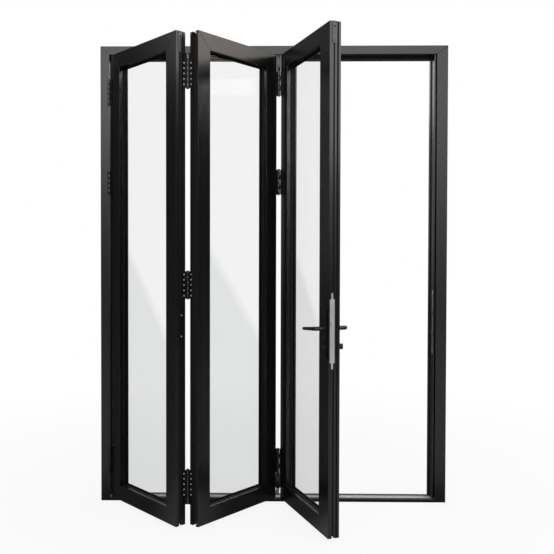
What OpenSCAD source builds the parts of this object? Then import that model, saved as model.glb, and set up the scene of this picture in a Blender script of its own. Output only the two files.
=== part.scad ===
/* [Outer frame] */
// overall width of the outer frame
frame_w = 1820; // [1500:10:2400]
// overall height from the floor to the top of the head
frame_h = 2400; // [2000:10:2700]
// depth of the frame through the wall
frame_d = 90; // [88:1:130]
// width of the hinge side jamb seen from the front
jamb_face = 46; // [40:1:60]
// width of the lock side jamb seen from the front
lock_jamb_face = 57; // [45:1:70]
// height of the head seen from the front
head_face = 44; // [43:1:60]
// height of the threshold
sill_h = 18; // [16:1:30]
// height of the rear stop above the rebate of the head
stop_h = 14; // [8:1:18]
// thickness of the rear stop
stop_t = 25; // [16:1:28]
// width and depth of the gasket grooves in the stops
gasket_groove = 4; // [3:0.5:5]
// width of the lock side filler strip
strip_w = 12; // [8:1:16]
// distance of the strip behind the front of the frame
strip_set = 8; // [4:1:14]
// depth of the head rail cavity above its lips
rail_cavity = 30; // [28:1:34]
// width of the head rail cavity
rail_w = 28; // [26:1:30]
// mouth of the head rail
rail_mouth = 14; // [13:1:18]
// thickness of the lips that carry the rollers
rail_lip = 5; // [3:1:6]
// width of the guide channel in the threshold
guide_w = 28; // [20:1:30]
// depth of the guide channel below the top of the threshold
guide_d = 12; // [10:1:14]
// wall of the guide channel
guide_wall = 2; // [1:0.5:3]

/* [Leaves] */
// thickness of a leaf
leaf_t = 56; // [52:1:58]
// visible width of stiles and rails
sight = 78; // [66:1:90]
// visible width of the lock stile
lock_sight = 98; // [90:1:110]
// angle of the first two leaves to the frame plane
fold_angle = 46.6; // [40:0.2:75]
// angle of the lead leaf to the frame plane
lead_angle = 70; // [20:1:80]
// gap between two closed leaves
leaf_gap = 9; // [9:1:12]
// gap between the closed lead leaf and the lock side strip
lock_gap = 12; // [10:1:16]
// running gap above and below the leaves
run_gap = 5; // [4:1:8]
// depth of the glazing lip from the outside face
lip_t = 22; // [16:1:24]
// height of the glazing lip
lip_h = 20; // [16:1:24]
// thickness of the glazing beads
bead_t = 14; // [10:1:16]
// reach of the glazing beads past the lip
bead_over = 2; // [0:0.5:4]
// thickness of a sealed glass unit
glass_t = 19; // [16:0.5:19]
// depth to which the glass sits in its rebate
glass_bite = 15; // [12:1:18]

/* [Leaf edges] */
// depth of the groove in the plain edges
groove_d = 11; // [6:1:14]
// width of the groove in the plain edges
groove_w = 16; // [12:1:18]
// width of the twin grooves in the locking edges
twin_w = 7; // [5:0.5:8]
// depth of the twin grooves
twin_d = 8; // [5:1:12]
// width of the ridge between the twin grooves
ridge_w = 11; // [8:1:14]
// depth of the open channel in the second leaf
channel_d = 14; // [8:1:18]

/* [Hinges] */
// distance of a hinge pin outside the leaf face
pin_off = 11; // [10.5:0.5:14]
// radius of a hinge knuckle
knuckle_r = 7; // [6:0.5:8]
// radius of a hinge pin
pin_r = 4; // [3:0.5:4.5]
// distance of the pin line in front of the frame
pin_front = 8; // [7.5:0.5:10]
// thickness of the hinge plates
plate_t = 3.5; // [3:0.5:3.5]
// width of a hinge plate on the leaf edge
plate_v = 13; // [10:1:16]
// height of a hinge
hinge_h = 130; // [100:5:150]
// distance of the end hinges from the leaf ends
hinge_end = 195; // [170:5:240]
// distance of the second side hinge below the top one
hinge_drop = 469; // [300:1:600]
// distance of the middle hinge below half height
mid_drop = 24; // [0:1:60]
// distance of the top carrier hinge from the leaf top
carrier_end = 149; // [130:1:180]
// height of the foot bracket's lower end above the leaf foot
foot_end = 52; // [40:1:70]
// height of the end blocks on the meeting hinges
block_h = 34; // [20:1:40]

/* [Handle and lock] */
// height of the lever spindle above the leaf foot
lever_z = 950; // [850:1:1100]
// distance of the spindle from the lock edge
backset = 35; // [30:1:40]
// distance from the spindle to the cylinder
lock_centres = 85; // [70:1:92]
// length of a lever from its spindle
lever_len = 128; // [100:1:150]
// distance of the far side of the grip from the leaf face
lever_out = 60; // [45:1:70]
// droop of the levers in degrees
lever_droop = 5; // [0:0.5:10]
// radius of a lever at its root
lever_r = 9.5; // [8:0.5:10]
// radius of a lever at its tip
lever_tip = 7; // [5:0.5:8]
// width of a backplate
backplate_w = 28; // [26:1:36]
// thickness of a backplate
backplate_t = 9; // [6:1:10]
// reach of a backplate above the spindle
backplate_up = 85; // [50:1:90]
// reach of a backplate below the spindle
backplate_down = 141; // [120:1:160]
// width of the lock faceplate
face_w = 24; // [20:1:26]
// reach of the lock faceplate above the spindle
face_up = 134; // [110:1:150]
// reach of the lock faceplate below the spindle
face_down = 154; // [130:1:180]
// length of the narrow tips of the faceplate
face_tip = 28; // [16:1:34]

/* [Hidden] */
$fn = 48;
eps = 0.01;
seat = 0.15;
front_y = -frame_d / 2;
back_y = frame_d / 2;
stop_y = back_y - stop_t;
pin_y = front_y - pin_front;
hinge_jamb_x = -frame_w / 2 + jamb_face;
lock_jamb_x = frame_w / 2 - lock_jamb_face;
head_z = frame_h - head_face;
leaf_z = sill_h + run_gap;
leaf_h = head_z - run_gap - leaf_z;
closed_run = lock_jamb_x - strip_w - lock_gap - hinge_jamb_x - leaf_gap / 2;
leaf_w = (closed_run - 2 * leaf_gap) / 3;
leaf_pitch = leaf_w + leaf_gap;
span_v = leaf_t + 2 * pin_off;
pin0 = [hinge_jamb_x, pin_y];
pin1 = [pin0[0] + leaf_pitch * cos(fold_angle) + span_v * sin(fold_angle),
    pin0[1] - leaf_pitch * sin(fold_angle) + span_v * cos(fold_angle)];
pin2 = [2 * pin1[0] - pin0[0], pin_y];
rail_y = pin_y + pin_off + leaf_t / 2;
pocket_t = leaf_t - lip_t - bead_t;
body_w = sight - lip_h;
bead_edge = sight + bead_over;
bead_set = 1;
bead_bevel = 4;
mitre_reach = bead_edge + 2;
lock_extra = lock_sight - sight;
cheek_left = 12.5;
cheek_right = 15;
cheek_t = 4;
link_w = 18;
link_t = 8;
collar_z = 5;
foot_collar_r = 9.5;
foot_collar_h = 24;
groove_v = leaf_t / 2;
ridge_v = leaf_t / 2 + 4;
ridge_drop = 1;
flange_t = 5;
rear_drop = 5;
ridge_h = 2;
ridge_t = 4;
ridge_y = pin_y + pin_off + leaf_t - 8;
nosing = 4;
drip_d = 2;
lug_mouth = 8;
lug_w = 14;
lug_lip = 1.5;
lug_d = 5;
lug_y = frame_d / 3;
shadow_w = 5;
shadow_d = 12;
guide_lip = 1;
roller_fit = 0.3;
cap_h = 3;
plate_corner = 4;
knuckles = 5;
tube_r = 8;
arm_t = 6;
arm_h = 56;
neck_r = 5;
pin_fit = 1.5;
wheel_r = 8;
wheel_t = 5.5;
wheel_out = 9.5;
axle_r = 3;
trolley_l = 70;
trolley_w = 10;
flush_z = 948;
flush_h = 180;
flush_slot = 70;
flush_slot_w = 5;
bolt_plate_h = 100;
bolt_plate_w = 24;
bolt_plate_t = 2.5;
bolt_plate_v = 24;
bolt_hole_r = 4;
face_v = 16;
face_t = 2.5;
tip_w = 9;
latch_rise = 23;
latch_w = 12;
latch_h = 20;
bolt_fit = 0.5;
latch_out = 9;
deadbolt_out = 3.5;
strike_y = pin_y + pin_off + face_v;
strike_w = 20;
strike_t = 2;
strike_up = 150;
strike_down = 190;
collar_r = 12;
collar_h = 3;
bend_r = 13;
tip_round = 5;
barrel_r = 8.5;
barrel_out = 3;
turn_neck = 8;
turn_h = 26;
turn_w = 10;
turn_d = 15;
end_hinges = [hinge_end, leaf_h - hinge_end];
side_hinges = [hinge_end, leaf_h - hinge_end - hinge_drop, leaf_h - hinge_end];
mid_hinges = [hinge_end, leaf_h / 2 - mid_drop, leaf_h - hinge_end];
carrier_hinges = [hinge_end, leaf_h - hinge_end - hinge_drop, leaf_h - carrier_end];
tube_low = leaf_z + leaf_h - carrier_end + hinge_h / 2 + cap_h + 2 * seat;
tube_high = leaf_z + hinge_end - hinge_h / 2 - cap_h - 2 * seat;
leaf_wall = leaf_gap / 2 - plate_t;
far_pin = leaf_w + leaf_gap / 2;

// places a leaf: u from its hinge side edge, v from its outside face, z from its foot
module in_leaf(n) {
    if (n == 1)
        translate([pin0[0], pin0[1], leaf_z]) rotate([0, 0, -fold_angle])
            translate([leaf_gap / 2, pin_off, 0]) children();
    if (n == 2)
        translate([pin1[0], pin1[1], leaf_z]) rotate([0, 0, fold_angle])
            translate([leaf_gap / 2, -pin_off - leaf_t, 0]) children();
    if (n == 3)
        translate([pin2[0], pin2[1], leaf_z]) rotate([0, 0, -lead_angle])
            translate([leaf_gap / 2, pin_off, 0]) children();
}

// rectangle with four round corners
module round_rect(w, h, r) {
    translate([r, 0]) square([w - 2 * r, h]);
    translate([0, r]) square([w, h - 2 * r]);
    for (x = [r, w - r], y = [r, h - r]) translate([x, y]) circle(r);
}

// mitre of a top corner: the half above the line for a jamb, the half below it for the head
module mitre(face, gap, above) {
    k = head_face / face;
    far = 4 * face;
    translate([0, frame_d, frame_h]) rotate([90, 0, 0]) linear_extrude(2 * frame_d)
        polygon([[-face, k * face + gap], [far, -k * far + gap],
            above ? [far, k * far] : [-face, -k * far]]);
}

// open channel for the wall brackets, undercut, with its mouth at the origin
module lug_channel() {
    translate([-eps, -lug_mouth / 2]) square([lug_lip + 2 * eps, lug_mouth]);
    translate([lug_lip, -lug_w / 2]) square([lug_d - lug_lip, lug_w]);
}

module jamb_section(face) {
    rise = stop_h * face / head_face;
    difference() {
        union() {
            translate([0, front_y]) square([face, frame_d]);
            translate([0, stop_y]) square([face + rise, stop_t]);
        }
        for (y = [-lug_y, lug_y]) translate([0, y]) lug_channel();
        translate([face + (rise - gasket_groove) / 2, stop_y - eps])
            square([gasket_groove, gasket_groove]);
    }
}

module left_jamb() {
    color("#26292a") difference() {
        translate([-frame_w / 2, 0, 0]) difference() {
            linear_extrude(frame_h) jamb_section(jamb_face);
            mitre(jamb_face, -seat, true);
        }
        translate([pin0[0], pin0[1], leaf_z]) for (z = side_hinges) translate([0, 0, z])
            plate_recess();
    }
}

module right_jamb() {
    color("#26292a") translate([frame_w / 2, 0, 0]) mirror([1, 0, 0]) difference() {
        linear_extrude(frame_h) jamb_section(lock_jamb_face);
        mitre(lock_jamb_face, -seat, true);
    }
}

// section of the head: depth first, height above its underside second
module head_section() {
    difference() {
        union() {
            translate([front_y, 0]) square([frame_d, head_face]);
            translate([stop_y, -stop_h]) square([stop_t, head_face]);
        }
        translate([rail_y - rail_w / 2, rail_lip]) square([rail_w, rail_cavity]);
        translate([rail_y - rail_mouth / 2, -eps]) square([rail_mouth, rail_lip + 1]);
        translate([stop_y - eps, -(stop_h + gasket_groove) / 2])
            square([gasket_groove, gasket_groove]);
    }
}

module head() {
    color("#26292a") difference() {
        translate([-frame_w / 2, 0, head_z]) rotate([90, 0, 90])
            linear_extrude(frame_w) head_section();
        translate([-frame_w / 2, 0, 0]) mitre(jamb_face, seat, false);
        translate([frame_w / 2, 0, 0]) mirror([1, 0, 0]) mitre(lock_jamb_face, seat, false);
    }
}

// front part of the threshold: nosing, guide seat and weather ridge
module sill_section() {
    difference() {
        union() {
            translate([front_y, 0]) square([stop_y - front_y, sill_h - nosing]);
            translate([front_y + nosing, 0]) square([stop_y - front_y - nosing, sill_h]);
            translate([front_y + nosing, sill_h - nosing]) circle(nosing);
            translate([ridge_y - ridge_t / 2, sill_h - eps]) square([ridge_t, ridge_h + eps]);
        }
        translate([rail_y - guide_w / 2 - seat, sill_h - guide_d - seat])
            square([guide_w + 2 * seat, guide_d + ridge_h]);
        translate([front_y - eps, drip_d]) square([drip_d, drip_d]);
    }
}

module sill() {
    run = lock_jamb_x - hinge_jamb_x - 2 * seat;
    stop_left = stop_h * jamb_face / head_face;
    stop_right = stop_h * lock_jamb_face / head_face;
    color("#26292a") union() {
        translate([hinge_jamb_x + seat, 0, 0]) rotate([90, 0, 90])
            linear_extrude(run) sill_section();
        translate([hinge_jamb_x + stop_left + seat, stop_y - eps, 0])
            cube([run - stop_left - stop_right, stop_t + eps, sill_h - rear_drop]);
    }
}

module guide_rail() {
    color("#c9ccce") translate([hinge_jamb_x + 2 * seat, rail_y, sill_h - guide_d])
        rotate([90, 0, 90]) linear_extrude(lock_jamb_x - hinge_jamb_x - 4 * seat) difference() {
            translate([-guide_w / 2, 0]) square([guide_w, guide_d + guide_lip]);
            translate([-guide_w / 2 + guide_wall, guide_wall])
                square([guide_w - 2 * guide_wall, guide_d + guide_lip]);
        }
}

// filler strip on the lock side, stepped back beside the jamb to leave a shadow groove
module lock_strip() {
    low = sill_h + max(guide_lip, ridge_h) + seat;
    color("#2b2e2f") difference() {
        translate([lock_jamb_x - strip_w, 0, low]) linear_extrude(head_z - low - seat) {
            translate([0, front_y + strip_set + shadow_d])
                square([strip_w - seat, stop_y - front_y - strip_set - shadow_d - seat]);
            translate([0, front_y + strip_set]) square([strip_w - shadow_w, shadow_d + eps]);
        }
        translate([lock_jamb_x - strip_w - 1, strike_y - strike_w / 2 - seat,
            leaf_z + lever_z - strike_down - seat])
            cube([1 + strike_t + seat, strike_w + 2 * seat, strike_up + strike_down + 2 * seat]);
    }
}

module strike_plate() {
    color("#c9ccce") translate([lock_jamb_x - strip_w, strike_y, leaf_z + lever_z]) difference() {
        translate([0, -strike_w / 2, -strike_down])
            cube([strike_t, strike_w, strike_up + strike_down]);
        for (z = [latch_rise, -lock_centres])
            translate([-1, -latch_w / 2 - 1, z - latch_h / 2 - 2])
                cube([strike_t + 2, latch_w + 2, latch_h + 4]);
    }
}

// leaf profile: first value from the leaf edge inward, second from the outside face
// kind 0 has one groove, kind 1 twin grooves with a ridge, kind 2 a deep open channel
// extra is what a wider profile has over the others
module sash_section(kind, extra = 0) {
    difference() {
        union() {
            square([sight + extra, lip_t]);
            square([body_w + extra, leaf_t]);
        }
        if (kind == 0) translate([-1, groove_v - groove_w / 2]) square([groove_d + 1, groove_w]);
        if (kind == 1) {
            for (v = [ridge_v - ridge_w / 2 - twin_w, ridge_v + ridge_w / 2])
                translate([-1, v]) square([twin_d + 1, twin_w]);
            translate([-1, ridge_v - ridge_w / 2 - 1]) square([1 + ridge_drop, ridge_w + 2]);
        }
        if (kind == 2)
            translate([-1, flange_t]) square([channel_d + 1, leaf_t - plate_v - flange_t + 1]);
    }
}

module bead_section() {
    face = leaf_t - bead_set;
    polygon([[body_w + seat, leaf_t - bead_t], [bead_edge, leaf_t - bead_t],
        [bead_edge, face - bead_bevel], [bead_edge - bead_bevel, face], [body_w + seat, face]]);
}

// keeps the part of an upright member between its two mitres
module upright_ends(extra) {
    reach = mitre_reach + extra;
    rise = reach * sight / (sight + extra);
    translate([0, leaf_t + 1, 0]) rotate([90, 0, 0]) linear_extrude(leaf_t + 2)
        polygon([[0, seat], [reach, rise + seat], [reach, leaf_h - rise - seat], [0, leaf_h - seat]]);
}

module level_ends(width, extra) {
    run = mitre_reach * (sight + extra) / sight;
    translate([0, leaf_t + 1, 0]) rotate([90, 0, 0]) linear_extrude(leaf_t + 2)
        polygon([[seat, 0], [width - seat, 0], [width - run - seat, mitre_reach],
            [mitre_reach + seat, mitre_reach]]);
}

module upright(extra = 0) {
    intersection() {
        linear_extrude(leaf_h) children();
        upright_ends(extra);
    }
}

module level(width, extra = 0) {
    intersection() {
        translate([width, 0, 0]) rotate([0, -90, 0]) linear_extrude(width) children();
        level_ends(width, extra);
    }
}

module far_side(width = leaf_w) {
    translate([width, 0, 0]) mirror([1, 0, 0]) children();
}

module upside() {
    translate([0, 0, leaf_h]) mirror([0, 0, 1]) children();
}

module stile(kind, extra = 0) {
    color("#1d2021") upright(extra) sash_section(kind, extra);
}

module rail(extra = 0) {
    color("#1d2021") level(leaf_w, extra) sash_section(0);
}

module pane(extra = 0) {
    inset = sight - glass_bite;
    color([0.86, 0.9, 0.9, 0.35]) translate([inset, lip_t + (pocket_t - glass_t) / 2, inset])
        cube([leaf_w - extra - 2 * inset, glass_t, leaf_h - 2 * inset]);
}

module beads(extra = 0) {
    width = leaf_w - extra;
    color("#1d2021") {
        upright() bead_section();
        far_side(width) upright() bead_section();
        level(width) bead_section();
        upside() level(width) bead_section();
    }
}

// outline of a hinge plate from the pin side to its two round corners
module plate_outline(w, h) {
    square([w - plate_corner, h]);
    translate([0, plate_corner]) square([w, h - 2 * plate_corner]);
    for (z = [plate_corner, h - plate_corner]) translate([w - plate_corner, z]) circle(plate_corner);
}

// plate of a hinge in the plane of a leaf edge, with the pin at the origin
module hinge_plate(wall_u, extra) {
    start = knuckle_r + 1;
    translate([wall_u, start, -hinge_h / 2]) rotate([90, 0, 90]) linear_extrude(plate_t)
        plate_outline(pin_off + plate_v - start, hinge_h + extra);
}

// pocket in the jamb that takes a hinge plate flush
module plate_recess() {
    translate([-leaf_gap / 2 - seat, 0, -hinge_h / 2 - seat]) rotate([90, 0, 90])
        linear_extrude(leaf_gap) plate_outline(pin_off + plate_v + seat, hinge_h + 2 * seat);
}

module barrel(own, wall_u) {
    part_h = hinge_h / knuckles;
    for (i = [0:knuckles - 1]) if (i % 2 == own)
        translate([0, 0, -hinge_h / 2 + i * part_h + seat]) linear_extrude(part_h - 2 * seat) difference() {
            union() {
                circle(knuckle_r);
                translate([wall_u, 0]) square([plate_t, knuckle_r + 2]);
            }
            circle(pin_r + seat);
        }
}

module hinge_half(own, wall_u, up, down) {
    color("#1b1d1e") union() {
        barrel(own, wall_u);
        translate([0, 0, -down]) hinge_plate(wall_u, up + down);
    }
}

module hinge_pin(up, down) {
    color("#1b1d1e") {
        translate([0, 0, -hinge_h / 2 - seat]) cylinder(r = pin_r, h = hinge_h + 2 * seat);
        translate([0, 0, hinge_h / 2 + seat]) cylinder(r = knuckle_r, h = up);
        translate([0, 0, -hinge_h / 2 - down - seat]) cylinder(r = knuckle_r, h = down);
    }
}

// the top and bottom meeting hinges carry a block past their outer end
function block_up(z) = z == end_hinges[1] ? block_h : 0;
function block_down(z) = z == end_hinges[0] ? block_h : 0;

module jamb_hinges_frame() {
    translate([pin0[0], pin0[1], leaf_z]) for (z = side_hinges)
        translate([0, 0, z]) mirror([1, 0, 0]) hinge_half(1, leaf_wall - seat, 0, 0);
}

module jamb_hinges_leaf() {
    in_leaf(1) for (z = side_hinges)
        translate([-leaf_gap / 2, -pin_off, z]) hinge_half(0, leaf_wall - seat, 0, 0);
}

module meeting_hinges_leaf1() {
    in_leaf(1) for (z = mid_hinges) translate([far_pin, leaf_t + pin_off, z]) rotate([0, 0, 180])
        hinge_half(0, leaf_wall - seat, block_up(z), block_down(z));
}

module meeting_hinges_leaf2() {
    in_leaf(2) for (z = mid_hinges) translate([-leaf_gap / 2, leaf_t + pin_off, z]) mirror([0, 1, 0])
        hinge_half(1, leaf_wall - seat, block_up(z), block_down(z));
}

module carrier_hinges_leaf2() {
    in_leaf(2) for (z = carrier_hinges)
        translate([far_pin, -pin_off, z]) mirror([1, 0, 0]) hinge_half(0, leaf_wall - seat, 0, 0);
}

module carrier_hinges_leaf3() {
    in_leaf(3) for (z = carrier_hinges)
        translate([-leaf_gap / 2, -pin_off, z]) hinge_half(1, leaf_wall - seat, 0, 0);
}

module hinge_pins() {
    for (z = side_hinges) translate([pin0[0], pin0[1], leaf_z + z]) hinge_pin(cap_h, cap_h);
    for (z = mid_hinges) translate([pin1[0], pin1[1], leaf_z + z])
        hinge_pin(max(cap_h, block_up(z)), max(cap_h, block_down(z)));
    for (z = carrier_hinges) translate([pin2[0], pin2[1], leaf_z + z]) hinge_pin(cap_h, cap_h);
}

// tube on the pin line with a cheek on each side behind it, which closes the gap between the leaves
module bracket_body(low, high) {
    translate([0, 0, low]) {
        cylinder(r = tube_r, h = high - low);
        translate([-cheek_left, tube_r - cheek_t / 2, 0])
            cube([cheek_left + cheek_right, cheek_t, high - low]);
    }
}

module carrier_bracket() {
    top = leaf_z + leaf_h - 2;
    color("#1b1d1e") translate([pin2[0], pin2[1], 0]) {
        bracket_body(tube_low, top);
        translate([-arm_t / 2, 0, top - arm_h]) cube([arm_t, rail_y - pin_y, arm_h]);
        translate([0, rail_y - pin_y, top - arm_h]) cylinder(r = arm_t / 2, h = arm_h);
    }
}

module top_trolley() {
    wheel_z = head_z + rail_lip + seat + wheel_r;
    low = leaf_z + leaf_h - 2 + seat;
    color("#8d9193") translate([pin2[0], rail_y, 0]) {
        translate([0, 0, low]) cylinder(r = neck_r, h = wheel_z - low);
        translate([-trolley_l / 2, -trolley_w / 2, wheel_z - wheel_r / 2])
            cube([trolley_l, trolley_w, wheel_r]);
        for (x = [-trolley_l / 2 + wheel_r, trolley_l / 2 - wheel_r])
            translate([x, 0, wheel_z]) rotate([90, 0, 0]) {
                for (side = [-1, 1]) translate([0, 0, side * wheel_out - wheel_t / 2])
                    cylinder(r = wheel_r, h = wheel_t);
                translate([0, 0, -wheel_out - wheel_t / 2])
                    cylinder(r = axle_r, h = 2 * wheel_out + wheel_t);
            }
    }
}

module foot_bracket() {
    color("#1b1d1e") translate([pin2[0], pin2[1], 0]) bracket_body(leaf_z + foot_end, tube_high);
}

// link from the pin line back to the guide rail, with a stem, a collar and a roller in the channel
module foot_guide() {
    low = sill_h - guide_d + guide_wall + 2 * seat;
    link_z = leaf_z + foot_end - seat - link_t;
    color("#c9ccce") translate([pin2[0], rail_y, 0]) {
        translate([0, 0, low])
            cylinder(r = guide_w / 2 - guide_wall - roller_fit, h = guide_d - guide_wall);
        translate([0, 0, low]) cylinder(r = neck_r - pin_fit, h = link_z + link_t - low);
        translate([0, 0, leaf_z + collar_z]) cylinder(r = foot_collar_r, h = foot_collar_h);
        translate([0, 0, link_z]) linear_extrude(link_t) {
            translate([-link_w / 2, pin_y - rail_y]) square([link_w, rail_y - pin_y]);
            for (y = [pin_y - rail_y, 0]) translate([0, y]) circle(link_w / 2);
        }
    }
}

module flush_bolt_plate() {
    color("#191b1c") in_leaf(1) translate([leaf_w - ridge_drop + seat, ridge_v, flush_z])
    rotate([90, 0, 90]) {
        linear_extrude(bolt_plate_t) difference() {
            translate([-ridge_w / 2, -flush_h / 2]) round_rect(ridge_w, flush_h, plate_corner);
            translate([-flush_slot_w / 2, -flush_slot / 2]) square([flush_slot_w, flush_slot]);
        }
        translate([-flush_slot_w / 2 + seat, -flush_slot / 2 + seat, 0])
            linear_extrude(2 * bolt_plate_t) square([flush_slot_w - 2 * seat, flush_slot / 2]);
    }
}

module edge_bolt_guides() {
    color("#3a3e40") for (n = [1, 3]) in_leaf(n)
        translate([leaf_w + seat, bolt_plate_v, leaf_h - bolt_plate_h]) rotate([90, 0, 90])
            linear_extrude(bolt_plate_t) difference() {
                union() {
                    translate([-bolt_plate_w / 2, bolt_plate_w / 2])
                        square([bolt_plate_w, bolt_plate_h - bolt_plate_w / 2]);
                    translate([0, bolt_plate_w / 2]) circle(bolt_plate_w / 2);
                }
                translate([0, bolt_plate_h - bolt_plate_w]) circle(bolt_hole_r);
            }
}

// long plate with a narrow round tip at each end and windows for the latch and the deadbolt
module lock_faceplate() {
    color("#c9ccce") in_leaf(3) translate([leaf_w + seat, face_v, lever_z]) rotate([90, 0, 90])
        linear_extrude(face_t) difference() {
            union() {
                translate([-face_w / 2, -face_down]) square([face_w, face_down + face_up]);
                translate([-tip_w / 2, -face_down - face_tip + tip_w / 2])
                    square([tip_w, face_down + face_up + 2 * face_tip - tip_w]);
                for (z = [-face_down - face_tip + tip_w / 2, face_up + face_tip - tip_w / 2])
                    translate([0, z]) circle(tip_w / 2);
            }
            for (z = [latch_rise, -lock_centres])
                translate([-latch_w / 2 - bolt_fit, z - latch_h / 2 - bolt_fit])
                    square([latch_w + 2 * bolt_fit, latch_h + 2 * bolt_fit]);
        }
}

module lock_bolts() {
    color("#b9bcbe") in_leaf(3) for (bolt = [[latch_rise, latch_out], [-lock_centres, deadbolt_out]])
        translate([leaf_w + seat, face_v - latch_w / 2, lever_z + bolt[0] - latch_h / 2])
            cube([bolt[1], latch_w, latch_h]);
}

module backplate() {
    color("#151718") translate([leaf_w - backset, -seat, lever_z]) rotate([90, 0, 0]) {
        linear_extrude(backplate_t - seat) translate([-backplate_w / 2, -backplate_down])
            round_rect(backplate_w, backplate_up + backplate_down, plate_corner);
        translate([0, 0, backplate_t - seat - eps]) cylinder(r = collar_r, h = collar_h);
    }
}

module outside_backplate() {
    in_leaf(3) backplate();
}

module inside_backplate() {
    in_leaf(3) translate([0, leaf_t, 0]) mirror([0, 1, 0]) backplate();
}

// grip from the end of the bend to its rounded tip
module grip(length) {
    rotate_extrude() {
        polygon([[0, 0], [lever_r, 0], [lever_tip, length - tip_round], [0, length - tip_round]]);
        square([lever_tip - tip_round, length]);
        translate([lever_tip - tip_round, length - tip_round]) intersection() {
            circle(tip_round);
            square(tip_round);
        }
    }
}

module lever() {
    root = backplate_t + collar_h + seat;
    bend_y = lever_out - lever_r - bend_r;
    color("#151718") translate([leaf_w - backset, 0, lever_z]) rotate([0, -lever_droop, 0]) {
        translate([0, -root, 0]) rotate([90, 0, 0]) cylinder(r = lever_r, h = bend_y - root);
        translate([-bend_r, -bend_y, 0]) intersection() {
            rotate_extrude() translate([bend_r, 0]) circle(lever_r);
            translate([0, -bend_r - lever_r - 1, -lever_r - 1])
                cube([bend_r + lever_r + 1, bend_r + lever_r + 1, 2 * lever_r + 2]);
        }
        translate([-bend_r, -bend_y - bend_r, 0]) rotate([0, -90, 0]) grip(lever_len - bend_r);
    }
}

module outside_lever() {
    in_leaf(3) lever();
}

module inside_lever() {
    in_leaf(3) translate([0, leaf_t, 0]) mirror([0, 1, 0]) lever();
}

// key barrel outside, thumb turn inside
module lock_cylinder() {
    color("#b9bcbe") in_leaf(3) translate([leaf_w - backset, 0, lever_z - lock_centres]) {
        translate([0, -backplate_t - seat, 0]) rotate([90, 0, 0]) cylinder(r = barrel_r, h = barrel_out);
        translate([0, leaf_t + backplate_t + seat, 0]) rotate([-90, 0, 0]) {
            cylinder(r = barrel_r, h = turn_neck);
            translate([0, 0, turn_neck - eps]) linear_extrude(turn_d)
                translate([-turn_w / 2, -turn_h / 2]) round_rect(turn_w, turn_h, plate_corner);
        }
    }
}

module leaf1_hinge_stile() {
    in_leaf(1) stile(0);
}

module leaf1_meeting_stile() {
    in_leaf(1) far_side() stile(1);
}

module leaf1_top_rail() {
    in_leaf(1) upside() rail();
}

module leaf1_bottom_rail() {
    in_leaf(1) rail();
}

module leaf1_glass() {
    in_leaf(1) pane();
}

module leaf1_beads() {
    in_leaf(1) beads();
}

module leaf2_meeting_stile() {
    in_leaf(2) stile(2);
}

module leaf2_carrier_stile() {
    in_leaf(2) far_side() stile(0);
}

module leaf2_top_rail() {
    in_leaf(2) upside() rail();
}

module leaf2_bottom_rail() {
    in_leaf(2) rail();
}

module leaf2_glass() {
    in_leaf(2) pane();
}

module leaf2_beads() {
    in_leaf(2) beads();
}

module leaf3_hinge_stile() {
    in_leaf(3) stile(0);
}

module leaf3_lock_stile() {
    in_leaf(3) far_side() stile(1, lock_extra);
}

module leaf3_top_rail() {
    in_leaf(3) upside() rail(lock_extra);
}

module leaf3_bottom_rail() {
    in_leaf(3) rail(lock_extra);
}

module leaf3_glass() {
    in_leaf(3) pane(lock_extra);
}

module leaf3_beads() {
    in_leaf(3) beads(lock_extra);
}

left_jamb();
right_jamb();
head();
sill();
guide_rail();
lock_strip();
strike_plate();
leaf1_hinge_stile();
leaf1_meeting_stile();
leaf1_top_rail();
leaf1_bottom_rail();
leaf1_glass();
leaf1_beads();
leaf2_meeting_stile();
leaf2_carrier_stile();
leaf2_top_rail();
leaf2_bottom_rail();
leaf2_glass();
leaf2_beads();
leaf3_hinge_stile();
leaf3_lock_stile();
leaf3_top_rail();
leaf3_bottom_rail();
leaf3_glass();
leaf3_beads();
jamb_hinges_frame();
jamb_hinges_leaf();
meeting_hinges_leaf1();
meeting_hinges_leaf2();
carrier_hinges_leaf2();
carrier_hinges_leaf3();
hinge_pins();
carrier_bracket();
top_trolley();
foot_bracket();
foot_guide();
flush_bolt_plate();
edge_bolt_guides();
lock_faceplate();
lock_bolts();
outside_backplate();
inside_backplate();
outside_lever();
inside_lever();
lock_cylinder();
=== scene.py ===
import math

import bpy
import numpy as np
from bpy.props import FloatProperty, FloatVectorProperty, IntProperty, PointerProperty
from mathutils import Matrix, Vector


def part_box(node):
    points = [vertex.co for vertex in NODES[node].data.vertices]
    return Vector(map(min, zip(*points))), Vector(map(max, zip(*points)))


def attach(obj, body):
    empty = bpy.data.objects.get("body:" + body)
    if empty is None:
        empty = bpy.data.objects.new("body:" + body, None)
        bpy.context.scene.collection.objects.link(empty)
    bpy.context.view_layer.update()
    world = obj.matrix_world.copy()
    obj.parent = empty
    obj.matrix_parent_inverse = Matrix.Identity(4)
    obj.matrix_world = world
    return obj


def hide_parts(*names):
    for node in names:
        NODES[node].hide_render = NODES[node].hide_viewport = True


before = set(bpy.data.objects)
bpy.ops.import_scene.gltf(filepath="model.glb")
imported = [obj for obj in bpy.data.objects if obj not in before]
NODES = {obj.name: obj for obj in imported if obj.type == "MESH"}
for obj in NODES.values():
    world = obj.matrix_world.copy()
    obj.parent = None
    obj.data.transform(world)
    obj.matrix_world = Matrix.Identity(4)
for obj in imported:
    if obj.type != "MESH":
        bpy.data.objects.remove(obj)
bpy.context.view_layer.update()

bl_info = {
    "name": "Folding door",
    "version": (1, 0, 0),
    "blender": (4, 5, 0),
    "location": "3D View > Sidebar > Folding door",
    "description": "Finishes a folding door: powder coat, glazing, seals, screws and studio",
    "category": "Object",
}

BODY = "root"
LEAVES = (1, 2, 3)

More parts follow.
